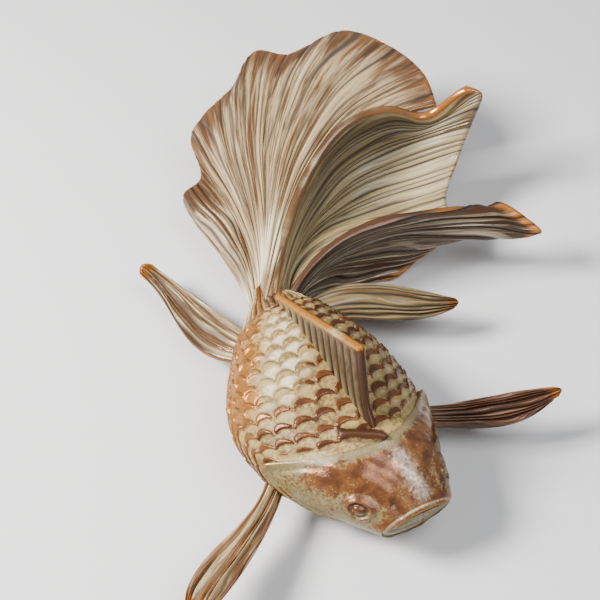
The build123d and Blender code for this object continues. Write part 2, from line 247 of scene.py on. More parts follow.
def casting(name, points, faces, marks):
    """Mesh object from points in millimetres, faces and named marks that hold one value a point."""
    mesh = bpy.data.meshes.new(name)
    quads = np.concatenate([np.asarray(f, np.int64).reshape(-1, 4) for f in faces])
    mesh.vertices.add(len(points))
    mesh.vertices.foreach_set("co", (points * millimetre).astype(np.float32).ravel())
    mesh.loops.add(quads.size)
    mesh.loops.foreach_set("vertex_index", quads.ravel().astype(np.int32))
    mesh.polygons.add(len(quads))
    mesh.polygons.foreach_set("loop_start", np.arange(0, quads.size, 4, dtype=np.int32))
    for mark, values in marks.items():
        single = values.size == len(points)
        layer = mesh.attributes.new(mark, "FLOAT" if single else "FLOAT_VECTOR", "POINT")
        layer.data.foreach_set("value" if single else "vector", np.asarray(values, np.float32).ravel())
    mesh.update(calc_edges=True)
    mesh.validate()
    mesh.polygons.foreach_set("use_smooth", np.ones(len(mesh.polygons), bool))
    piece = bpy.data.objects.new(name, mesh)
    bpy.context.scene.collection.objects.link(piece)
    return piece


def grid_quads(rows, columns, closed=False, first=0):
    """Corner numbers of the cells of a grid whose points are stored row by row."""
    index = first + np.arange(rows * columns).reshape(rows, columns)
    if closed:
        index = np.concatenate([index, index[:, :1]], axis=1)
    return np.stack([index[:-1, :-1], index[:-1, 1:], index[1:, 1:], index[1:, :-1]], -1)


def tube(name, grid, marks):
    """Casting from rings of points, closed at both ends by a ring shrunk to its middle."""
    point_share = 1e-3
    ends = [ring.mean(0) + (ring - ring.mean(0)) * point_share for ring in (grid[0], grid[-1])]
    rings = np.concatenate([ends[0][None], grid, ends[1][None]])
    kept = {mark: np.concatenate([v[:1], v, v[-1:]]) for mark, v in marks.items()}
    return casting(name, rings.reshape(-1, 3), [grid_quads(len(rings), rings.shape[1], True)], kept)


def bronze(name, look):
    """Patinated bronze. Marks on the mesh say where it is raised, pale, rubbed or in painted shade.

    Patina lies in the flats, red-brown metal shows where it is raised, copper where it is rubbed,
    and near-black painted shade lies where shade falls, in grooves, seams and hollows. The pale mark is
    partly pale patina and partly painted highlight. Three noises break the borders up. They follow the
    mark flow, in millimetres, which is drawn out along the rays of a fin.
    """
    material = bpy.data.materials.new(name)
    material.use_nodes = True
    tree = material.node_tree
    shader = tree.nodes["Principled BSDF"]
    flow = tree.nodes.new("ShaderNodeAttribute")
    flow.attribute_name = "flow"
    place = flow.outputs["Vector"]

    def noise(size, detail, roughness=0.6):
        node = tree.nodes.new("ShaderNodeTexNoise")
        node.inputs["Scale"].default_value = 1 / size
        node.inputs["Detail"].default_value = detail
        node.inputs["Roughness"].default_value = roughness
        tree.links.new(place, node.inputs["Vector"])
        return node.outputs["Fac"]

    def mark(word):
        node = tree.nodes.new("ShaderNodeAttribute")
        node.attribute_name = word
        return node.outputs["Fac"]

    def calc(kind, a, b, clamp=False):
        node = tree.nodes.new("ShaderNodeMath")
        node.operation = kind
        node.use_clamp = clamp
        for socket, value in zip(node.inputs, (a, b)):
            if isinstance(value, (int, float)):
                socket.default_value = value
            else:
                tree.links.new(value, socket)
        return node.outputs[0]

    def broken(value, pattern, strength):
        """The value plus the strength times what the pattern is above or below its middle."""
        return calc("ADD", value, calc("MULTIPLY", calc("SUBTRACT", pattern, 0.5), strength))

    def shifted(pattern, strength):
        """The pattern plus the mark tone times the strength, which tells scales and rays apart."""
        return calc("ADD", pattern, calc("MULTIPLY", tone, strength))

    def band(value, low, high, bottom=0.0, top=1.0):
        node = tree.nodes.new("ShaderNodeMapRange")
        node.interpolation_type = "SMOOTHSTEP"
        tree.links.new(value, node.inputs["Value"])
        for word, number in (("From Min", low), ("From Max", high), ("To Min", bottom), ("To Max", top)):
            node.inputs[word].default_value = number
        return node.outputs["Result"]

    def blend(share, a, b):
        node = tree.nodes.new("ShaderNodeMix")
        node.data_type = "RGBA"
        tree.links.new(share, node.inputs["Factor"])
        for socket, value in (("A", a), ("B", b)):
            target = [s for s in node.inputs if s.name == socket and s.type == "RGBA"][0]
            if isinstance(value, tuple):
                target.default_value = value + (1.0,)
            else:
                tree.links.new(value, target)
        return [s for s in node.outputs if s.type == "RGBA"][0]

    tone = mark("tone")
    blotch, fleck, grain = noise(look["blotch"], 3), noise(look["fleck"], 4), noise(look["grain"], 3, 0.7)
    bared = broken(broken(mark("raised"), blotch, look["breakup"]), fleck, look["breakup"])
    bared = band(bared, *look["bared"])
    pale = band(broken(mark("pale"), fleck, 0.9), 0.2, 0.8)
    rubbed = band(broken(mark("rubbed"), fleck, 0.8), 0.3, 0.7)
    # Painted shade: near-black laid where the mark says shade falls, in grooves, seams and hollows.
    painted_shade = calc("MULTIPLY", mark("painted_shade"), look["shade_share"], True)
    specks = band(grain, 0.62, 0.72, 0.0, look["specks"])

    patina = blend(band(shifted(fleck, 0.10), 0.40, 0.68), look["patina"], look["patina_dark"])
    metal = blend(band(shifted(blotch, 0.15), 0.35, 0.65), look["metal"], look["metal_dark"])
    colour = blend(bared, patina, metal)
    colour = blend(pale, colour, look["pale"])
    colour = blend(rubbed, colour, look["rubbed"])
    colour = blend(painted_shade, colour, look["painted_shade"])
    colour = blend(specks, colour, look["patina"])
    tree.links.new(colour, shader.inputs["Base Color"])

    shine = calc("MAXIMUM", bared, rubbed)
    tree.links.new(calc("MULTIPLY", shine, look["metallic"]), shader.inputs["Metallic"])
    rough = calc("SUBTRACT", look["rough"], calc("MULTIPLY", shine, look["polish"]))
    rough = broken(rough, grain, 0.25)
    tree.links.new(calc("ADD", rough, calc("MULTIPLY", painted_shade, 0.3), True), shader.inputs["Roughness"])
    shader.inputs["Specular IOR Level"].default_value = look["gloss"]

    height = calc("ADD", calc("MULTIPLY", fleck, 0.7), calc("MULTIPLY", grain, 0.3))
    bump = tree.nodes.new("ShaderNodeBump")
    bump.inputs["Strength"].default_value = look["bump"]
    bump.inputs["Distance"].default_value = look["bump_depth"] * millimetre
    tree.links.new(height, bump.inputs["Height"])
    tree.links.new(bump.outputs["Normal"], shader.inputs["Normal"])
    return material


def scale_pattern(row, column):
    """Overlapping round scales, with places measured in rows towards the tail and in columns.

    The free edge of row k is k plus the upper half of an oval on each column, and odd rows are
    shifted half a column. The scale nearest the head that reaches a point covers it. Returned are
    the distance to its free edge, the distance past the edge of the row ahead, the share across the
    scale from -1 to 1, and the numbers of its row and column.
    """

    def free_edge(k):
        shift = 0.5 * np.mod(k, 2)
        middle = np.round(column - shift) + shift
        share = np.clip(2 * (column - middle), -1, 1)
        return k + scale_arc_share * np.sqrt(1 - share ** 2), share, middle

    near = np.floor(row)
    near_edge, near_share, near_middle = free_edge(near)
    next_edge, next_share, next_middle = free_edge(near + 1)
    last_edge = free_edge(near - 1)[0]
    on_near = row <= near_edge
    to_edge = np.where(on_near, near_edge - row, next_edge - row)
    past = np.where(on_near, row - last_edge, row - near_edge)
    share = np.where(on_near, near_share, next_share)
    number, middle = np.where(on_near, near, near + 1), np.where(on_near, near_middle, next_middle)
    return to_edge, past, share, number, middle


# The trunk's smooth form: rings from a rounded plug at the tail's root to just under the collar.
rings, spokes = trunk_cells
around = np.linspace(0, 2 * np.pi, spokes, endpoint=False)[None, :]
upwards, left_side, right_side = np.sin(around), np.cos(around), -np.cos(around)
start = collar_at(around) - under_collar
finish = body_length - snout_reach
along = np.linspace(1, 0, rings)[:, None]
y = start + (finish + plug_length - start) * along
on_body = np.minimum(y, finish)
smooth = skin(on_body, around)
past_end = np.clip((y - finish) / plug_length, 0, 0.995)
shrink = np.sqrt(1 - past_end ** 2)
end_shift, _, end_axis = body_sizes(np.array(finish))[:3]
smooth[..., 0] = end_shift + plug_lean * past_end * plug_length + (smooth[..., 0] - end_shift) * shrink
smooth[..., 1] = y
smooth[..., 2] = end_axis + (smooth[..., 2] - end_axis) * shrink

# Its scales: the rows get closer together as the body narrows, and slant with the collar.
fine_y = np.linspace(-snout_reach, finish, 400)
fine_width = body_sizes(fine_y)[1] / body_half_width
pitch = np.maximum(scale_row_pitch * fine_width, least_row_pitch)
row_count = np.concatenate([[0], np.cumsum(np.diff(fine_y) / pitch[:-1])])
lag = 0.75 * (collar_at(around) - nape_place) * (1 - 0.7 * along)
row = np.interp(y - lag, fine_y, row_count)
column = around / (2 * np.pi) * scale_columns + 0 * y
to_edge, past, share, scale_row, scale_column = scale_pattern(row, column)
bow = np.sqrt(1 - share ** 2 + 0.004)
crescent = steps(to_edge, 0.0, 0.05) * (1 - steps(to_edge, 0.16 + 0.16 * bow, 0.30 + 0.20 * bow))
crescent = crescent * steps(bow, 0.10, 0.45)
slope = 1 - np.clip(to_edge, 0, 1.2) / 1.2
uneven = 0.75 + 0.5 * scatter(scale_row + 5, scale_column)

# Where it is handled, with a painted highlight on the same patch, hidden, or free of scales: the
# ribbed stalk of the tail and a band at the nape.
stalk = steps(y, finish - stalk_length, finish - stalk_full_length)
upper_right = bell(around - np.radians(wear_and_sheen_angle - wear_and_sheen_twist * y), 0.52)
rear_right = steps(right_side + 0.016 * (y - 4), 0.24, 0.84) * steps(y, -10, 4) * (1 - 0.6 * stalk)
rear_top = steps(y, finish - 12, finish - 8) * bell(around - math.radians(copper_rib_angle), 0.16)
far_side = steps(left_side, 0.20, 0.55) * steps(upwards, 0.0, 0.4)
# The pale patch high on the right flank is partly wear from handling, which flattens the scales, and partly a
# painted highlight.
wear_and_sheen = upper_right * bell(y - wear_and_sheen_place, wear_and_sheen_length)
wear_and_sheen = steps(wear_and_sheen, 0.20, 0.74) * (1 - 0.45 * rear_right)
underside = steps(-upwards, 0.35, 0.85)
smooth_nape = (1 - steps(y - collar_at(around), 0.6, 2.6)) * steps(upwards, 0.2, 0.7)
relief = (1 - 0.50 * wear_and_sheen) * (1 - 0.8 * underside) * (1 - stalk) * (1 - smooth_nape)

# Its relief: scales, the stalk's ribs, waist and thinning, and the raised bar across the nape.
height = relief * (scale_lift * slope + scale_rim * uneven * crescent - scale_seam * bell(past - 0.02, 0.07))
rib = np.abs(np.cos(around * stalk_ribs / 2 + 0.6 * np.sin(0.4 * y + 3 * around)))
waist = stalk_waist * steps(y, finish - waist_length, finish - waist_full_length)
thinning = stalk_thinning * steps(y, finish - stalk_full_length, finish)
height = height + stalk * (stalk_rib_depth * (rib ** 0.8 - 1) * shrink - waist - thinning)
bar_place = bar_front - bar_slant * smooth[..., 0]
bar_span = steps(smooth[..., 0], *bar_right_end) * (1 - steps(smooth[..., 0], *bar_left_end))
bar_span = bar_span * steps(upwards, 0, 0.3)
on_bar = bell(y - bar_place, bar_width) * bar_span
narrowing = (1 - stalk) * body_sizes(on_body)[1] / body_half_width + stalk
height = height * narrowing * (1 - on_bar) + bar_rise * on_bar
trunk_grid = smooth + normals(smooth) * -height[..., None]
trunk_grid[..., 2] = np.where(smooth[..., 2] <= 1e-6, 0, np.maximum(trunk_grid[..., 2], 0))

# Where it is bare, pale, rubbed or in painted shade. Part of the pale is painted light: the
# highlight on the handled patch and the paler far flank.
valley = stalk * bell(around - math.radians(valley_angle), 0.55)
bare_rims = crescent * (1 - 0.80 * wear_and_sheen) * relief
pale_ribs = stalk * rib * (1 - valley)
# Painted light: the scale faces on the far flank, in the dorsal fin's shade, are made paler.
painted_light_far_flank = far_side * relief * (1 - crescent)
pale_wear_and_sheen = wear_and_sheen * (1 - 0.75 * crescent) * (1 - bell(past - 0.04, 0.12))
scale_middle = relief * bell(to_edge - 0.72, 0.16) * bell(share, 0.5) * (1 - rear_right)
copper_scale = 0.86 - 0.34 * scatter(scale_row + 2, scale_column + 7) - 0.12 * crescent
# Painted shade: near-black in the seam behind each scale's free edge, on the underside, between the stalk's
# ribs and just ahead of the bar. The same mark also darkens the bar itself.
seam_shade = 0.85 * bell(past - 0.02, 0.05) + 0.22 * bell(past, 0.28)
seam_shade = seam_shade * (1 - underside) * (1 - stalk) * (1 - smooth_nape)
shade_between_ribs = stalk * steps(1 - rib, 0.3, 0.9)
painted_bar_shadow = bell(y - bar_place + 1.7, 0.5) * bar_span
trunk_marks = {
    "raised": 1.2 * bare_rims + 0.35 * underside + 1.2 * on_bar + 0.45 * valley + 0.25 * stalk * rib,
    "pale": 0.50 * pale_ribs + 0.56 * pale_wear_and_sheen + 0.20 * scale_middle + 0.22 * painted_light_far_flank,
    "rubbed": rear_right * (1 - 0.2 * wear_and_sheen) * copper_scale + 0.12 * crescent * (1 - wear_and_sheen) + 0.62 * rear_top,
    "painted_shade": seam_shade + 0.5 * underside + 0.9 * shade_between_ribs + 0.35 * on_bar + 0.6 * painted_bar_shadow,
    "tone": (2 * scatter(scale_row, scale_column) - 1) * (1 - on_bar) + 2.5 * on_bar,
    "flow": trunk_grid,
}
trunk = tube("scaled_trunk", trunk_grid, trunk_marks)
trunk_look = {
    "patina": (0.37, 0.255, 0.092), "patina_dark": (0.15, 0.090, 0.030),
    "metal": (0.155, 0.055, 0.016), "metal_dark": (0.075, 0.024, 0.009),
    "pale": (0.76, 0.67, 0.48), "rubbed": (0.26, 0.098, 0.012), "painted_shade": (0.030, 0.017, 0.008),
    "blotch": 3.2, "fleck": 0.8, "grain": 0.25, "breakup": 0.55, "bared": (0.30, 0.62),
    "shade_share": 1.0, "specks": 0.12, "metallic": 0.35, "rough": 0.46, "polish": 0.20,
    "gloss": 0.28, "bump": 0.6, "bump_depth": 0.12,
}
trunk.data.materials.append(bronze("patinated_scales", trunk_look))
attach(trunk, "root")
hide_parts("trunk")

# Head. One smooth casting that caps the trunk like a helmet, with a proud gill cover edge, ringed
# eyes and open lips. Handling has bared its brown crown, and patina stays along its rim and cheeks.
# A pale streak along its crest and pale bands by its rim are partly rubbed and partly painted
# highlights, and painted shade darkens the eye grooves, nostrils, mouth and the tuck under the rim.
collar_step, nape_step = 0.5, 0.15
rim_rise, rim_inset, rim_width = 0.45, 0.5, 0.8
rim_groove, rim_groove_inset, rim_groove_width = 0.25, 2.4, 0.9
rim_tuck, rim_tuck_depth, rim_edge = 0.6, 0.4, 0.05
eye_place, eye_height, eye_squash = -25.6, 14.4, 1.45
eye_mound_radius, eye_mound_rise = 3.4, 0.15
brow_radius, brow_width, brow_rise = 2.9, 0.8, 0.34
eye_ring_radius, eye_ring_width, eye_ring_rise = 2.35, 0.45, 0.32
eye_groove_radius, eye_groove_width, eye_groove_depth = 1.6, 0.25, 0.16
pupil_radius, pupil_rise = 1.25, 0.45
nostril_aside, nostril_shift, nostril_place, nostril_height = 4.2, 0.4, -28.4, 16.0
nostril_radius, nostril_depth = 0.55, 0.30
cheek_fold_radius, cheek_fold_width, cheek_fold_depth = 7.5, 0.6, 0.18
gill_aside, gill_shift, gill_flare, gill_flare_radius = 17.6, -2.0, 0.9, 3.6
casting_lumps = 0.09
mouth_middle = (1.1, 0.0, 13.6)
mouth_half_width, mouth_half_height, mouth_depth = 4.9, 0.42, 1.3
mouth_droop = 0.022
lip_roll, chin_setback = 0.9, 0.3
lip_clearance, lower_lip_setback = 0.06, 0.20
lip_grooves, lip_groove_depth = 30, 0.16
lip_fold_depth, chin_recess = 0.50, 0.45
head_cells = (250, 300)
shell_rings = 200

rings, spokes = head_cells
around = np.linspace(0, 2 * np.pi, spokes, endpoint=False)[None, :]
top = steps(np.sin(around), 0.25, 0.75)
low_rim = 1 - top
rear = collar_at(around, collar_step)
lip_start = -snout_reach + lip_roll + chin_setback * steps(-np.sin(around), -0.3, 1.0)
forward = np.linspace(0, 1, shell_rings)[:, None] ** 0.9
y = rear + (lip_start - rear) * forward
from_rim = rear - y
proud = collar_step - (collar_step - nape_step) * top * (1 - steps(from_rim, 1.0, 7.0))
helmet = skin(y, around, proud)
across, back, up = np.moveaxis(helmet, -1, 0)
carved = np.zeros_like(y)
ring_mark = np.zeros_like(y)
eye_shade = np.zeros_like(y)
socket = np.zeros_like(y)

# Its eye, nostril, cheek fold and gill point, the same on both sides.
for side in (-1, 1):
    shift, width, axis, back_rise, _ = body_sizes(np.array(eye_place))
    aside = (width + collar_step) * math.sqrt(1 - ((eye_height - axis) / back_rise) ** 2)
    gap = helmet - np.array([shift + side * aside, eye_place, eye_height])
    away = np.sqrt(gap[..., 0] ** 2 + gap[..., 1] ** 2 + (eye_squash * gap[..., 2]) ** 2)
    lid = steps(gap[..., 2], -0.5, 1.2)
    carved += eye_mound_rise * bell(away, eye_mound_radius)
    carved += brow_rise * lid * bell(away - brow_radius, brow_width)
    carved += eye_ring_rise * bell(away - eye_ring_radius, eye_ring_width)
    carved += pupil_rise * np.sqrt(np.clip(1 - (away / pupil_radius) ** 2, 0, 1))
    carved -= eye_groove_depth * bell(away - eye_groove_radius, eye_groove_width)
    ring_mark += bell(away - eye_ring_radius, 0.6) + bell(away, 1.0)
    ring_mark += 0.9 * lid * bell(away - brow_radius, 0.6)
    socket += bell(away - 3.7, 1.2)
    # Painted shade: dark in the groove round the pupil, in a ring round the eye mound and in the nostril.
    eye_shade += 0.9 * bell(away - eye_groove_radius, 0.34) + 0.45 * bell(away - 3.2, 0.45)
    nostril = np.array([side * nostril_aside + nostril_shift, nostril_place, nostril_height])
    from_nostril = np.linalg.norm(helmet - nostril, axis=-1)
    carved -= nostril_depth * bell(from_nostril, nostril_radius)
    eye_shade += 0.7 * bell(from_nostril, 0.6)
    behind = steps(back - eye_place, 0.5, 4.0) * steps(-up + eye_height + 3, 0, 3)
    carved -= cheek_fold_depth * bell(away - cheek_fold_radius, cheek_fold_width) * behind
    gill_tip = np.array([side * gill_aside + gill_shift, gill_place, gill_height])
    carved += gill_flare * bell(np.linalg.norm(helmet - gill_tip, axis=-1), gill_flare_radius)

# The proud edge of its gill covers, and the slight lumps of a casting.
carved += rim_rise * low_rim * bell(from_rim - rim_inset, rim_width)
carved -= rim_groove * low_rim * bell(from_rim - rim_groove_inset, rim_groove_width)
lumps = np.sin(across * 0.9 + 1) * np.sin(back * 0.8) + 0.6 * np.sin(across * 1.9 + back * 1.3)
carved += casting_lumps * lumps * steps(from_rim, 0.5, 3.0)
shell = helmet - normals(helmet) * carved[..., None]
shell[..., 2] = np.where(up <= 1e-6, 0, np.maximum(shell[..., 2], 0))
under_rim = skin(rear - rim_tuck, around, -rim_tuck_depth)
rim_inside = skin(rear + rim_edge, around, -rim_edge)

# Lips: the last ring rolls forward, round and into the mouth, a slit near the top of the snout. The
# upper lip is a thin ridge, and the lower one is fuller, set back a little and grooved.
roll = np.linspace(0, 1, rings - shell_rings)[1:, None]
upper = steps(np.sin(around), -0.25, 0.25)
lower = 1 - upper
oval = [mouth_half_width * np.cos(around[0]), 0 * around[0], mouth_half_height * np.sin(around[0])]
slit = np.array(mouth_middle) + np.stack(oval, -1)[None]
slit[..., 2] -= mouth_droop * slit[..., 0] ** 2
outer = shell[-1][None].copy()
outer[..., 1] = 0
lips = outer + (slit - outer) * steps(roll, 0.0, 0.8)[..., None]
front = -snout_reach + lip_clearance + lower_lip_setback * lower
grooves = lip_groove_depth * lower * np.cos(lip_grooves * around) * bell(roll - 0.60, 0.12)
fold = bell(roll - 0.36, 0.08)
sunk = lower * (lip_fold_depth * fold + chin_recess * (1 - steps(roll, 0.30, 0.42)))
lips[..., 1] = lip_start + (front - lip_start) * np.sin(np.clip(roll / 0.65, 0, 1) * np.pi / 2)
lips[..., 1] += grooves + sunk + mouth_depth * steps(roll, 0.80, 1.0)
head_grid = np.concatenate([under_rim, rim_inside, shell, lips])

# Where it is brown, pale, rubbed or in painted shade.
ridge_line = 0.7 - 0.12 * (back + 19)
# The pale streak along the crest and the pale bands by the rim are partly rubbed patina and partly painted
# highlights.
crown_rub_and_highlight = bell(across - ridge_line, 2.6) * steps(up, 13.5, 16) * steps(-back, 18, 22)
nape_band = top * (1 - steps(from_rim, 1.0, 3.6))
low_band = low_rim * bell(from_rim - 1.0, 1.6)
rim_pale_and_highlight = 0.30 * top * bell(from_rim - 0.9, 1.1) + 0.30 * low_band * bell(from_rim - 1.6, 0.7)
cheek = steps(13.5 - up, 0, 5)
brown_top = np.maximum(steps(up, 13.5, 16.5), steps(-back, 27, 29.5) * steps(up, 9, 13))
brown_top = brown_top * (1 - nape_band) * (1 - steps(back - 0.25 * across, -13.5, -10.0))
side_rim = low_rim * steps(np.sin(around), -0.6, 0.0) * bell(from_rim - 0.1, 0.6)
on_lip = upper * bell(roll - 0.55, 0.20) + 0 * lips[..., 0]
# Painted shade inside the mouth and in the lower lip's fold.
mouth_shade = 1.3 * steps(roll, 0.74, 0.86) + 0.8 * lower * fold + 0 * lips[..., 0]
hidden = np.zeros((2, spokes))
shell_marks = {
    "raised": 0.20 + 0.52 * brown_top + 0.3 * ring_mark - 0.24 * socket - 0.3 * low_band - 0.2 * cheek,
    "pale": 0.55 * crown_rub_and_highlight + rim_pale_and_highlight,
    "rubbed": 0.75 * side_rim + 0.08 * ring_mark,
    "painted_shade": 0.8 * np.clip(eye_shade, 0, 1),
    "tone": 0 * y,
}
lip_marks = {
    "raised": 0.15 + 0.35 * upper + 0 * on_lip,
    # The pale strip on the outside of the upper lip is a painted highlight.
    "pale": 0.45 * upper * bell(roll - 0.15, 0.2),
    "rubbed": 0.9 * on_lip,
    "painted_shade": np.clip(mouth_shade, 0, 1),
    "tone": 0 * on_lip,
}
head_marks = {}
# The two rings tucked under the gill rim get painted shade.
for word, values in shell_marks.items():
    under_values = hidden + 0.7 if word == "painted_shade" else hidden
    head_marks[word] = np.concatenate([under_values, values, lip_marks[word]])
head_marks["flow"] = head_grid
head = tube("smooth_head", head_grid, head_marks)
head_look = dict(
    trunk_look, patina=(0.205, 0.150, 0.055), patina_dark=(0.085, 0.057, 0.020),
    metal=(0.20, 0.074, 0.019), metal_dark=(0.095, 0.032, 0.012), pale=(0.66, 0.54, 0.42),
    blotch=2.6, fleck=0.55, breakup=1.35, bared=(0.24, 0.60), specks=0.8,
    metallic=0.4, rough=0.36, gloss=0.45)
head.data.materials.append(bronze("handled_bronze", head_look))
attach(head, "root")
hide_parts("head")

# Dorsal fin. A flat sail brazed into the back, with near-vertical rays and a thick rounded rim that
# is rubbed to bright copper. Its front ray is dark, and the bar on the nape lies at its foot. A
# painted highlight lies on the front of the rim, and painted shade in the webs between the rays.
dorsal_front, dorsal_rear = -14.3, 20.3
dorsal_sideways = -0.5
dorsal_front_height, dorsal_rear_height = 39.0, 20.6
dorsal_front_rake, dorsal_rear_rake = 4.2, 1.2
dorsal_rays = 14
dorsal_web, dorsal_ray = 0.38, 0.37
dorsal_rim, dorsal_rim_inset, dorsal_rim_width = 0.85, 0.7, 0.8
dorsal_top_radius, dorsal_side_radius = 0.9, 0.6
dorsal_clearance = 0.02
foot_sweep, foot_sweep_height = 1.9, 2.6
let_in_depth = 2.6
dorsal_cells = (110, 300)


def leaf(name, middle, half, marks):
    """Blade from a sheet of middle points and its half thickness: two sheets closed along all edges.

    The upper sheet is the middle moved by the half thickness along its normal, the lower sheet by
    the same the other way, and strips join their borders.
    """
    rows, columns = middle.shape[:2]
    away = normals(middle) * half[..., None]
    points = np.concatenate([(middle + away).reshape(-1, 3), (middle - away).reshape(-1, 3)])
    points[:, 2] = np.maximum(points[:, 2], 0)
    count = rows * columns
    index = np.arange(count).reshape(rows, columns)
    border = np.concatenate([index[0, :-1], index[:-1, -1], index[-1, :0:-1], index[:0:-1, 0]])
    after = np.roll(border, -1)
    strip = np.stack([border, after, after + count, border + count], -1)
    upper = grid_quads(rows, columns)[..., ::-1]
    lower = grid_quads(rows, columns, first=count)
    doubled = {word: np.concatenate([v.ravel(), v.ravel()]) for word, v in marks.items()}
    return casting(name, points, [upper, lower, strip], doubled)


def eased(count, ends=0.35):
    """Shares from 0 to 1, packed closer together at both ends: even steps blended with a half cosine."""
    t = np.linspace(0, 1, count)
    return (1 - ends) * t + ends * (1 - np.cos(np.pi * t)) / 2


def rounded(distance, radius):
    """Thickness share near an edge: a quarter circle of that radius, 1 beyond it."""
    return np.sqrt(np.clip(1 - (1 - np.clip(distance / radius, 0, 1)) ** 2, 0, 1))


def reach_from(middle, axis, end):
    """Distance of each point from one edge of a sheet, measured along the sheet's lines."""
    runs = np.linalg.norm(np.diff(middle, axis=axis), axis=-1)
    total = np.cumsum(runs, axis=axis)
    zero = np.zeros_like(np.take(total, [0], axis=axis))
    far = np.concatenate([zero, total], axis=axis)
    return far if end == 0 else np.take(far, [-1], axis=axis) - far


u, v = eased(dorsal_cells[0], 0.25)[:, None], eased(dorsal_cells[1], 0.15)[None, :]
y = dorsal_front + (dorsal_rear - dorsal_front) * v
sizes = body_sizes(y)
rake = dorsal_front_rake + (dorsal_rear_rake - dorsal_front_rake) * v
peak = dorsal_front_height + (dorsal_rear_height - dorsal_front_height) * v - dorsal_clearance
foot = np.stack([dorsal_sideways + 0 * y, y, sizes[2] + sizes[3] - let_in_depth], -1)
crest = np.stack([dorsal_sideways + 0 * y, y + rake, peak], -1)
sail = foot + (crest - foot) * u[..., None]
above = np.maximum(sail[..., 2] - foot[..., 2] - let_in_depth, -0.6)
sail[..., 1] -= foot_sweep * bell(above, foot_sweep_height) * (1 - v) ** 8
ray = np.abs(np.cos(np.pi * (v * (dorsal_rays - 1)))) ** 0.8 + 0 * u
from_top, from_front, from_rear = reach_from(sail, 0, 1), reach_from(sail, 1, 0), reach_from(sail, 1, 1)
rim = bell(from_top - dorsal_rim_inset, dorsal_rim_width)
half = (dorsal_web + dorsal_ray * ray) * (1 - rim) + dorsal_rim * rim
half = half * rounded(from_top, dorsal_top_radius)
half = half * rounded(from_front, dorsal_side_radius) * rounded(from_rear, dorsal_side_radius)
front_ray = bell(from_front - 0.3, 1.3)
# Painted highlight: a pale spot on the front part of the rim.
rim_highlight = bell(v - 0.26, 0.15)
pale_foot = 0.55 * ray * bell(above, 5.0) * (1 - bell(from_front, 2.0))
# Painted shade in the webs between the rays, below the rim.
web_shade = np.clip(0.95 * (1 - ray) ** 1.5 + 0.25 * steps(from_top, 0.5, 5) + 0.25, 0, 1)
dorsal_marks = {
    "raised": 0.15 + 0.55 * ray * (1 - bell(from_front, 1.6)) + 1.1 * front_ray - 0.2 * steps(from_top, 0, 3),
    "pale": 0.75 * bell(from_top, 0.9) * rim_highlight + pale_foot,
    "rubbed": bell(from_top, 1.0) * (1 - 0.5 * rim_highlight),
    "painted_shade": web_shade * steps(from_top, 1.0, 2.4),
    "tone": 2.4 * front_ray,
    "flow": np.stack([0 * ray, sail[..., 1], 0.2 * sail[..., 2]], -1),
}
dorsal = leaf("dorsal_sail", sail, half, dorsal_marks)
fin_look = dict(
    trunk_look, patina=(0.47, 0.345, 0.18), patina_dark=(0.19, 0.125, 0.055),
    metal=(0.21, 0.092, 0.033), metal_dark=(0.095, 0.042, 0.017), pale=(0.80, 0.68, 0.47),
    rubbed=(0.36, 0.125, 0.018), blotch=1.6, fleck=0.5, breakup=0.6, bared=(0.42, 0.70),
    specks=0.2, metallic=0.45, rough=0.36, gloss=0.65, bump=0.45)
sail_look = dict(
    fin_look, patina=(0.165, 0.118, 0.062), patina_dark=(0.075, 0.048, 0.024),
    metal=(0.15, 0.058, 0.022), metal_dark=(0.08, 0.030, 0.013), pale=(0.50, 0.42, 0.20),
    rubbed=(0.31, 0.115, 0.007), metallic=0.3, gloss=0.2)
dorsal.data.materials.append(bronze("sail_bronze", sail_look))
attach(dorsal, "root")
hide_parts("dorsal_fin")

# Tail. Three cast lobes spread from the end of the trunk: an open fan on the fish's right, a basin
# hung from a thick rolled rim on its left, and a standing lobe below. Each is covered in fine rays.
tail_reach = 72.0
tail_crest_height = 30.0
root_place = body_length - snout_reach - let_in_depth
root_setback, root_gather = 4.0, 1.4
tail_web, tail_edge = 0.94, 0.02
tail_flute, tail_scratch, tail_scratch_fill = 0.30, 0.12, 0.10
root_rib, root_rib_share = 0.60, 0.8
margin_share, margin_width = 0.60, 7.0
border_radius, tip_radius = 0.7, 0.8
rolled_rim, rolled_rim_inset, rolled_rim_width, rolled_rim_radius = 1.012, 0.9, 0.9, 1.0
basin_depth = 5.9
basin_early_share, basin_skew = 0.3, 0.6
rim_swell, rim_swell_place, rim_swell_width = 3.6, 0.57, 0.20
rim_dip, rim_dip_place, rim_dip_width = 5.0, 0.885, 0.085
rim_curl, rim_curl_start, rim_wave_share = 1.6, 0.90, 0.40
tip_pinch, tip_pinch_place, tip_pinch_width, tip_pinch_share = 1.3, 0.94, 0.06, 0.55
corner_radius, margin_trim, least_margin = 3.0, 0.3, 12
lower_lift_shares = ((0.060, 0.029), (-0.021, -0.035))
pattern_gap = 40.0
right_half_table = [
    (67.5, 0.875, 0.68, -0.047, -0.104),
    (61.5, 0.94, 0.80, -0.055, -0.095),
    (53.0, 0.98, 0.87, -0.040, -0.070),
    (44.0, 1.00, 0.87, -0.020, -0.057),
    (35.0, 0.925, 0.74, 0.010, -0.046),
    (28.0, 0.92, 0.77, 0.030, -0.040),
    (23.5, 0.805, 0.68, 0.040, -0.032),
    (15.0, 0.725, 0.57, 0.054, 0.003),
    (11.5, 0.69, 0.46, 0.057, 0.017),
    (11.0, 0.555, 0.365, 0.035, 0.030),
    (4.0, 0.505, 0.365, 0.040, 0.003),
    (4.0, 0.505, 0.235, 0.022, 0.012),
]
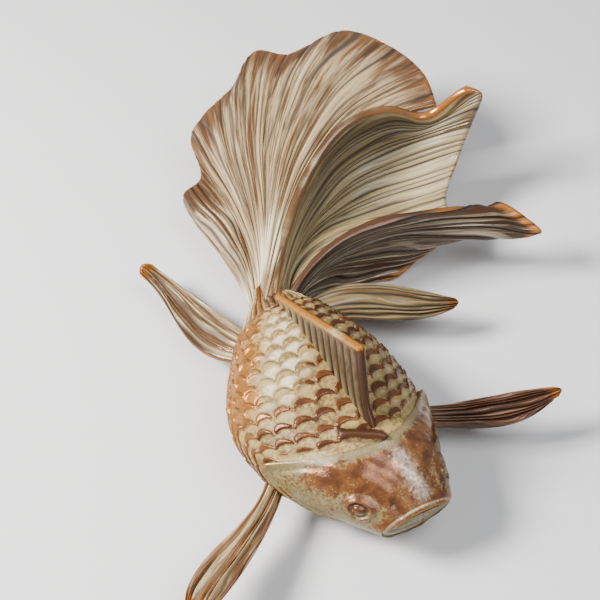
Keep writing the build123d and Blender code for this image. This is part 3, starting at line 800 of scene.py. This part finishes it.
left_upper_table = [
    (76.0, 0.885, 1.00, -0.114, -0.138),
    (76.7, 0.858, 0.90, -0.094, -0.169),
    (76.6, 0.818, 0.72, -0.078, -0.155),
    (77.4, 0.761, 0.53, -0.085, -0.104),
    (80.3, 0.679, 0.42, -0.090, -0.049),
    (85.4, 0.613, 0.45, -0.090, -0.017),
    (95.5, 0.563, 0.42, -0.067, 0.003),
]
left_lower_table = [
    (96.3, 0.728, 0.63, -0.043, 0.020),
    (100.7, 0.765, 0.55, -0.061, -0.007),
    (104.7, 0.799, 0.48, -0.076, -0.032),
    (102.5, 0.731, 0.43, -0.078, -0.025),
    (95.9, 0.672, 0.35, -0.072, 0.003),
    (92.6, 0.550, 0.25, -0.064, -0.004),
    (91.6, 0.479, 0.12, -0.051, -0.022),
    (94.8, 0.421, 0.047, -0.049, -0.040),
]
lobes = {
    "tail_right_half": {
        "table": right_half_table, "roots": ((-0.6, 15.6), (-3.6, 8.4)), "rays": 9, "groove": 0.60,
        "lines": 34, "cells": (120, 400), "look": {},
    },
    "tail_left_upper_lobe": {
        "table": left_upper_table, "roots": ((1.6, 15.4), (3.6, 12.4)), "rays": 6, "groove": 0.40,
        "lines": 22, "cells": (120, 360),
        "look": {"patina": (0.36, 0.28, 0.135), "patina_dark": (0.13, 0.095, 0.042),
                 "pale": (0.60, 0.49, 0.29), "bared": (0.50, 0.78)},
    },
    "tail_left_lower_lobe": {
        "table": left_lower_table, "roots": ((4.0, 14.2), (3.4, 8.0)), "rays": 6, "groove": 0.75,
        "lines": 12, "cells": (130, 340),
        # Its patina and metal are darkened as painted shade, for a lobe whose face turns away from the light.
        "look": {"patina": (0.13, 0.096, 0.050), "patina_dark": (0.032, 0.021, 0.011),
                 "metal": (0.075, 0.033, 0.016), "metal_dark": (0.045, 0.022, 0.011),
                 "pale": (0.72, 0.60, 0.42), "bared": (0.36, 0.60), "metallic": 0.2, "gloss": 0.3},
    },
}


def lobe_sheet(name, u, v):
    """Middle sheet of a tail lobe, u from root to margin and v across its rays.

    A table row gives a ray's bearing in degrees, turned from +Y to +X, its reach and its tip height
    as shares of the tail's, and two bends as shares of the tail's reach. Roots stand in a row between
    the lobe's two. The ray runs straight from its root to its tip, plus an early bend of 6.75 u (1 - u)
    squared and a late bend of 6.75 u squared (1 - u), both to the ray's right. The basin sags between
    its borders and its rim waves, the standing lobe's rays bow up or down, and rays next to a corner
    are shortened, so that corners are round.
    """
    lobe = lobes[name]
    table = lobe["table"]
    bearing, far, high, early, late = np.moveaxis(through(np.linspace(0, 1, len(table)), table, v), -1, 0)
    angle = np.radians(bearing)
    ahead = np.stack([np.sin(angle), np.cos(angle), 0 * angle], -1)
    right = np.stack([np.cos(angle), -np.sin(angle), 0 * angle], -1)
    up = np.array([0.0, 0.0, 1.0])
    (x0, z0), (x1, z1) = lobe["roots"]
    root = np.stack([x0 + (x1 - x0) * v, root_place + 0 * v, z0 + (z1 - z0) * v], -1)
    lift_early, lift_late, wave = 0 * v, 0 * v, 0 * u
    if name == "tail_left_upper_lobe":
        fall = basin_depth * np.sin(np.pi * v ** basin_skew)
        lift_early, lift_late = -basin_early_share * fall, -fall
        wave = rim_swell * bell(u - rim_swell_place, rim_swell_width)
        wave = wave - rim_dip * bell(u - rim_dip_place, rim_dip_width)
        wave = (wave + rim_curl * steps(u, rim_curl_start, 1)) * (1 - steps(v, 0, rim_wave_share))
    if name == "tail_left_lower_lobe":
        (early_top, late_top), (early_low, late_low) = lower_lift_shares
        lift_early = (early_top + (early_low - early_top) * v) * tail_reach
        lift_late = (late_top + (late_low - late_top) * v) * tail_reach
        wave = -tip_pinch * (1 - steps(v, 0, tip_pinch_share)) * bell(u - tip_pinch_place, tip_pinch_width)
    run = ahead * (far * tail_reach)[..., None] + up * (high * tail_crest_height - root[..., 2])[..., None]
    first_bend = right * (early * tail_reach)[..., None] + up * lift_early[..., None]
    second_bend = right * (late * tail_reach)[..., None] + up * lift_late[..., None]
    margin = far * tail_reach * math.radians(np.ptp(np.array(table)[:, 0]))
    inner = 1 - v if name == "tail_right_half" else np.minimum(v, 1 - v)
    from_corner = inner * np.maximum(margin, least_margin)
    clipped = 1 - np.clip(from_corner / corner_radius, 0, 1)
    trim = (margin_trim + corner_radius * (1 - np.sqrt(1 - clipped ** 2))) / (far * tail_reach)
    u = (u * (1 - trim))[..., None]
    sheet = root + run * u + first_bend * 6.75 * u * (1 - u) ** 2 + second_bend * 6.75 * u ** 2 * (1 - u)
    at_root = (1 - u[..., 0]) ** 4
    sheet[..., 1] -= root_setback * at_root
    if name == "tail_left_upper_lobe":
        sheet[..., 0] -= root_gather * (1 - v) * at_root
    return sheet + up * wave[..., None]


def fine_lines(u, v, lines, seed):
    """Rounded ridges between narrow grooves that wander a little, with thin scratches between them.

    The ridge is the size of a cosine across the sheet to the power 0.85, and the scratches are that
    of a cosine 2.37 times as fine to the power 0.5. Returned are the ridge from 0 in a groove to 1 on
    top, the strength of each line, its number and the scratches from 0 to 1.
    """
    drift = 0.20 * np.sin(7 * u + 5 * v + seed) + 0.12 * np.sin(17 * u - 11 * v + 2 * seed)
    place = v * lines + drift * steps(u, 0.1, 0.6) + 0.34 * np.sin(lines * 1.9 * v + seed)
    ridge = np.abs(np.cos(np.pi * place)) ** 0.85
    number = np.round(place)
    strength = 0.45 + 0.55 * scatter(number, 0 * number + seed)
    thin = np.abs(np.cos(np.pi * (place * 2.37 + 0.3 * np.sin(9 * u + 3 * seed) + seed))) ** 0.5
    return ridge, strength, number, thin


def ray_flow(v, first, tip, across_share, along_share, apart):
    """Places for the noises, drawn out along the rays, in millimetres.

    They are a share of the way across the sheet at its widest, a far smaller share of the way out
    from its root, and a distance of its own for each fin, so that no two have the same pattern.
    """
    across = across_share * first.max() * v + 0 * tip
    return np.stack([across, along_share * (tip.max() - tip), apart + 0 * tip], -1)


def tail_lobe(name, seed):
    """One lobe: its middle sheet, its thickness with broad flutes and fine rays, and its marks."""
    lobe = lobes[name]
    rows, columns = lobe["cells"]
    u, v = eased(rows, 0.3)[:, None], eased(columns, 0.2)[None, :]
    sheet = lobe_sheet(name, u + 0 * v, v + 0 * u)
    tip, first, last = reach_from(sheet, 0, 1), reach_from(sheet, 1, 0), reach_from(sheet, 1, 1)
    fine, strength, number, thin = fine_lines(u, v, lobe["lines"], seed)
    broad = 0.5 + 0.5 * np.cos(2 * np.pi * v * (lobe["rays"] - 1)) + 0 * u
    coarse = np.abs(np.cos(np.pi * (v * lobe["lines"] / 3 + 0.25 * np.sin(9 * v + seed)))) ** 0.6
    deepen = steps(u, 0.02, 0.22)
    near = 1 - steps(u, 0.12, 0.42)

    half = tail_web + tail_flute * (broad - 0.5) * deepen
    half = half + lobe["groove"] * (fine - 1) * strength * (1 - 0.8 * near)
    half = half + (tail_scratch * (thin - 1) + tail_scratch_fill) * (1 - near)
    half = half + root_rib * (coarse - root_rib_share) * near * steps(u, 0.02, 0.10)
    half = half * (margin_share + (1 - margin_share) * steps(tip, 0, margin_width))
    border = np.minimum(tip, last)
    if name == "tail_left_upper_lobe":
        rolled = bell(first - rolled_rim_inset, rolled_rim_width) * steps(u, 0.05, 0.25)
        half = half * (1 - rolled) + rolled_rim * rolled
        half = half * rounded(first, rolled_rim_radius)
    else:
        half = half * rounded(first, border_radius)
        border = np.minimum(border, first)
    half = np.maximum(half * rounded(tip, tip_radius) * rounded(last, border_radius), tail_edge)

    streak = 0.5 + 0.5 * np.sin(number * 2.4 + seed) * np.sin(u * 4 + number)
    patchy = 0.5 + 0.5 * np.sin(first * 0.33 + seed) * np.sin(tip * 0.30 + 2 * seed)
    bare_lines = 0.16 * fine + 0.42 * streak ** 2 * fine * strength + 0.16 * broad * deepen
    bare_ends = 0.30 * bell(tip, 7.0) + 0.35 * (1 - steps(u, 0.06, 0.13)) - 0.2 * near
    # Painted highlights: pale along the tops of the fine ridges.
    ridge_highlights = 0.70 * fine * thin * (1 - streak) * (1 - patchy)
    rubbed_ends = 0.75 * bell(border, 0.9) * (0.15 + 0.85 * patchy) + 0.50 * bell(tip, 4.0) * patchy
    # Painted shade in the grooves between the fine rays and scratches, and between the ribs at the root.
    grooves = steps(1 - fine, 0.30, 0.95) * (0.35 + 0.75 * strength) + 0.35 * (1 - thin)
    marks = {
        "raised": np.clip(0.22 + bare_lines + bare_ends, 0, 1),
        # Pale on the ribs near the root is a painted sheen, and the ridge tops carry painted highlights.
        "pale": 0.60 * near * coarse * steps(u, 0.06, 0.14) + ridge_highlights,
        "rubbed": np.clip(rubbed_ends, 0, 1),
        "painted_shade": np.clip(grooves * (1 - 0.7 * near) + 0.95 * steps(1 - coarse, 0.2, 0.8) * near, 0, 1),
        "tone": 2 * scatter(number, 0 * number + seed + 3) - 1,
        "flow": ray_flow(v, first, tip, 0.7, 0.05, pattern_gap * seed),
    }
    if name == "tail_left_upper_lobe":
        basin_marks(marks, u, v, first, fine)
    if name == "tail_left_lower_lobe":
        crest_marks(marks, u, first, tip, fine)
    return sheet, half, marks


def basin_marks(marks, u, v, first, fine):
    """The basin's marks: a bare rolled rim, a painted shadow under it, and pale towards the margin."""
    on_rim = bell(first - 0.6, 1.5)
    # Painted shadow cast by the rolled rim across the upper basin.
    shade = bell(first - 4, 9.0) * steps(u, 0.15, 0.5) * (1 - 0.6 * steps(u, 0.75, 1.0))
    shade = shade * (1 - on_rim) * (0.7 + 0.3 * (1 - fine))
    marks["rubbed"] = np.clip(0.5 * marks["rubbed"] + (0.22 + 0.48 * steps(u, 0.50, 0.92)) * on_rim, 0, 1)
    marks["raised"] = np.maximum(marks["raised"] * 0.8, 0.8 * on_rim)
    marks["painted_shade"] = np.clip(marks["painted_shade"] * (1 - on_rim) + 0.84 * shade, 0, 1)
    marks["pale"] = 0.60 * steps(u, 0.50, 0.98) * steps(v, 0.15, 0.5) * (0.5 + 0.5 * fine)


def crest_marks(marks, u, first, tip, fine):
    """The standing lobe's marks: a rubbed crest and tip, and painted highlights along the tops of its rays.
    """
    on_crest = bell(first, 0.8)
    copper = 0.75 * steps(u, 0.45, 0.92) * on_crest + 0.6 * bell(tip, 3.0)
    marks["rubbed"] = np.clip(0.5 * marks["rubbed"] + copper, 0, 1)
    marks["raised"] = np.maximum(marks["raised"], 0.7 * on_crest)
    # Painted highlights along the ray tops.
    marks["pale"] = 0.12 * marks["pale"] + 0.40 * bell(fine - 0.97, 0.10) * (1 - on_crest)


for seed, (name, lobe) in enumerate(lobes.items()):
    sheet, half, marks = tail_lobe(name, seed)
    piece = leaf(name.replace("tail_", "tail_blade_"), sheet, half, marks)
    piece.data.materials.append(bronze(name.replace("tail_", "tail_bronze_"), dict(fin_look, **lobe["look"])))
    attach(piece, "root")
    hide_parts(name)

# Paired fins. Four small fluted leaves cast on bowed spines and let into the flanks, with thick necks
# and rubbed tips. Their tips stand 8 to 13 mm above the table.
pectoral_root_height, pelvic_root_height = 7.8, 8.0
paddle_arch_share = 0.22
paddle_blunt_share = 0.3
paddle_web, paddle_neck, paddle_edge, paddle_edge_radius = 0.85, 0.5, 0.02, 0.9
paddle_flutes, paddle_flute, paddle_groove, paddle_scratch = 4, 0.25, 0.80, 0.10
paddle_tip_share, paddle_tip_length = 0.6, 6
paddle_pattern_start = 200.0
paddle_cells = (120, 150)
paddles = {
    "right_pectoral_fin": {
        "side": -1, "station": 0.348, "root": pectoral_root_height, "bearing": 233.4, "length": 30.9,
        "half_width": 4.3, "widths": (0.50, 0.15, 1.50, 0.60), "tip": 11.2, "roll": 12.0,
        "bows": (-3.7, 2.1), "lifts": (-1.4, -1.8), "lines": 8,
        "look": {"patina": (0.58, 0.42, 0.225), "metal": (0.34, 0.135, 0.045), "bared": (0.36, 0.66),
                 "shade_share": 0.65},
    },
    "left_pectoral_fin": {
        "side": 1, "station": 0.340, "root": pectoral_root_height, "bearing": 112.4, "length": 28.1,
        "half_width": 3.9, "widths": (0.62, 0.37, 1.45, 0.20), "tip": 12.6, "roll": 20.0,
        "bows": (0.6, 3.3), "lifts": (-1.0, -1.0), "lines": 8,
        "look": {"patina": (0.26, 0.15, 0.08), "patina_dark": (0.11, 0.055, 0.028),
                 "metal": (0.15, 0.055, 0.022), "metal_dark": (0.07, 0.026, 0.012),
                 "bared": (0.22, 0.45), "rough": 0.42},
    },
    "right_pelvic_fin": {
        "side": -1, "station": 0.846, "root": pelvic_root_height, "bearing": 343.6, "length": 31.4,
        "half_width": 4.5, "widths": (0.60, 1.72, 0.34, 0.40), "tip": 8.2, "roll": -10.0,
        "bows": (-3.3, 2.1), "lifts": (-2.7, -4.0), "lines": 8,
        "look": {"patina": (0.43, 0.31, 0.155), "bared": (0.34, 0.62), "shade_share": 0.8},
    },
    "left_pelvic_fin": {
        "side": 1, "station": 0.833, "root": pelvic_root_height, "bearing": 112.2, "length": 29.9,
        "half_width": 4.5, "widths": (0.90, 0.85, 1.15, 0.20), "tip": 9.6, "roll": 25.0,
        "bows": (-6.7, 2.2), "lifts": (1.8, 1.4), "lines": 6,
        "look": {"patina": (0.175, 0.13, 0.054), "patina_dark": (0.05, 0.033, 0.013),
                 "bared": (0.62, 0.92), "rubbed": (0.23, 0.085, 0.02)},
    },
}


def cubic(points, u):
    """Point at share u of the cubic curve with four control points."""
    weights = ((1 - u) ** 3, 3 * u * (1 - u) ** 2, 3 * u ** 2 * (1 - u), u ** 3)
    return sum(w[..., None] * p for w, p in zip(weights, points))


def paddle_sheet(fin, u, v):
    """Middle sheet of a paired fin: curves beside a bowed spine that draw in, spread and close.

    Each is a cubic curve along the fin. Its control points stand off the spine by the fin's width
    there, tilted by its roll, arched upwards in the middle and set back at the tip's corners.
    """
    angle, side = math.radians(fin["bearing"]), fin["side"]
    ahead = np.array([math.sin(angle), math.cos(angle), 0.0])
    right = np.array([math.cos(angle), -math.sin(angle), 0.0])
    up = np.array([0.0, 0.0, 1.0])
    place = fin["station"] * body_length - snout_reach
    shift, width, axis, back, belly = body_sizes(np.array(place))
    drop = (fin["root"] - axis) / (back if fin["root"] > axis else belly)
    flank = np.array([shift + side * width * math.sqrt(1 - drop ** 2), place, fin["root"]])
    root = flank - ahead * let_in_depth
    run = ahead * (fin["length"] + let_in_depth) + up * (fin["tip"] - fin["root"])
    controls = []
    bows, lifts = (0, *fin["bows"], 0), (0, *fin["lifts"], 0)
    for k, width_share in enumerate(fin["widths"]):
        spine = root + run * (k / 3) + right * bows[k] + up * lifts[k]
        tilt = math.radians(fin["roll"]) * min(k, 2) / 2
        reach = width_share * fin["half_width"]
        across = right * math.cos(tilt) - up * math.sin(tilt)
        arch = paddle_arch_share * reach * (1 - v * v)
        blunt = -paddle_blunt_share * fin["half_width"] * v * v * (k == 3)
        line = spine + across * (v * reach)[..., None] + up * arch[..., None]
        controls.append(line + ahead * blunt[..., None])
    return cubic(controls, u)


for seed, (name, fin) in enumerate(paddles.items()):
    rows, columns = paddle_cells
    u, v = eased(rows, 0.3)[:, None], eased(columns, 0.3)[None, :]
    sheet = paddle_sheet(fin, u + 0 * v, 2 * (v + 0 * u) - 1)
    tip, first, last = reach_from(sheet, 0, 1), reach_from(sheet, 1, 0), reach_from(sheet, 1, 1)
    fine, strength, number, thin = fine_lines(u, v, fin["lines"], seed + 7)
    broad = 0.5 + 0.5 * np.cos(2 * np.pi * v * paddle_flutes) + 0 * u
    deepen = steps(u, 0.15, 0.45)
    neck = 1 - steps(u, 0.1, 0.5)
    grooves = (paddle_groove * (fine - 1) + paddle_scratch * (thin - 1)) * (0.5 + 0.5 * deepen)
    half = paddle_web + paddle_flute * (broad - 0.5) * deepen + grooves + paddle_neck * neck
    half = half * (paddle_tip_share + (1 - paddle_tip_share) * steps(tip, 0, paddle_tip_length))
    half = half * rounded(tip, paddle_edge_radius)
    edge_radius = np.minimum(paddle_edge_radius + neck, (first + last) / 2)
    half = np.maximum(half * rounded(first, edge_radius) * rounded(last, edge_radius), paddle_edge)
    border = np.minimum(np.minimum(first, last), tip)
    bare_lines = 0.45 * fine * (0.5 + 0.5 * np.sin(number * 2.1 + seed)) + 0.3 * broad * fine
    marks = {
        "raised": np.clip(0.25 + bare_lines, 0, 1),
        "pale": 0.2 * fine * (1 - steps(u, 0.5, 0.9)),
        "rubbed": np.clip(0.5 * bell(border, 0.7) + 0.9 * bell(tip, 3.0), 0, 1),
        # Painted shade in the grooves between the rays.
        "painted_shade": np.clip(steps(1 - fine, 0.15, 0.75) + 0.3 * (1 - thin), 0, 1) * steps(u, 0.05, 0.3),
        "tone": 2 * scatter(number, 0 * number + seed) - 1,
        "flow": ray_flow(v, first, tip, 0.8, 0.07, paddle_pattern_start + pattern_gap * seed),
    }
    piece = leaf(name.replace("_fin", "_blade"), sheet, half, marks)
    piece.data.materials.append(bronze("paddle_bronze_" + name[:-4], dict(fin_look, **fin["look"])))
    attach(piece, "root")
    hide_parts(name)
